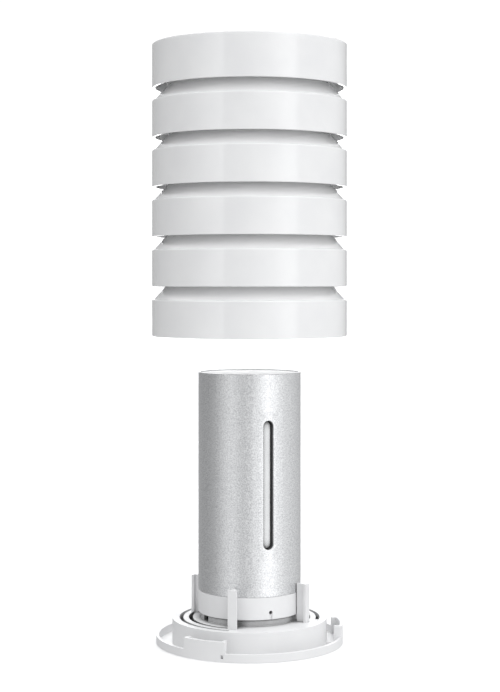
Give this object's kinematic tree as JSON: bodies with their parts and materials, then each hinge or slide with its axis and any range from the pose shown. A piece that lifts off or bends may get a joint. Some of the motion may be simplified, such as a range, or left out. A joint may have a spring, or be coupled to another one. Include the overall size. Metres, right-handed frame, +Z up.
{
  "type": "outdoor weather sensor with louvred radiation shield",
  "caption": "Outdoor weather sensor: a white louvred radiation shield that lifts off a cylindrical aluminium sensor module seated in a round white base.",
  "frame": {"origin": "centre of the base's underside, at the height of the surface that it stands on", "axes": "+Z up along the common axis of base, module and shield; -Y towards the front, where the module's slot is; +X to the right seen from the front"},
  "size_m": [0.0856, 0.0856, 0.2616],
  "materials": {
    "shield_white": "high gloss, UV-stable white",
    "base_white": "satin moulded white",
    "cover_white": "satin moulded white",
    "sleeve_aluminium": "bead-blasted, clear anodised",
    "steel": "zinc-plated",
    "brass": "turned",
    "rubber": "matt black",
    "light_guide": "translucent white, modelled opaque",
    "frame_white": "as moulded",
    "board_green": "solder mask",
    "cell_wrap": "printed sleeve, plain"
  },
  "bodies": {
    "base": {"base_plate": "base_white", "cradle": "base_white", "cradle_screw_1": "steel", "cradle_screw_2": "steel", "cradle_screw_3": "steel", "tripod_insert": "brass"},
    "module": {"sleeve": "sleeve_aluminium", "top_cap": "cover_white", "cap_seal": "rubber", "collar": "cover_white", "collar_seal": "rubber", "light_guide": "light_guide", "chassis": "frame_white", "circuit_board": "board_green", "radio_module": "steel", "humidity_sensor": "frame_white", "status_led": "light_guide", "battery_1": "cell_wrap", "battery_2": "cell_wrap", "battery_spring_1": "steel", "battery_spring_2": "steel", "contact_plate_bottom": "steel", "contact_plate_top": "steel", "cover_screw_1": "steel", "cover_screw_2": "steel", "board_screw_1": "steel", "board_screw_2": "steel"},
    "shield": {"shield_cap": "shield_white", "louvre_1": "shield_white", "louvre_2": "shield_white", "louvre_3": "shield_white", "louvre_4": "shield_white", "louvre_5": "shield_white", "tie_screw_1": "steel", "tie_screw_2": "steel", "tie_screw_3": "steel"}
  },
  "joints": [
    {"name": "module_lift", "type": "slide", "parent": "base", "child": "module", "axis": [0, 0, 1], "range_m": [0, 0.11]},
    {"name": "shield_lift", "type": "slide", "parent": "module", "child": "shield", "axis": [0, 0, 1], "range_m": [-0.1337, 0]}
  ]
}
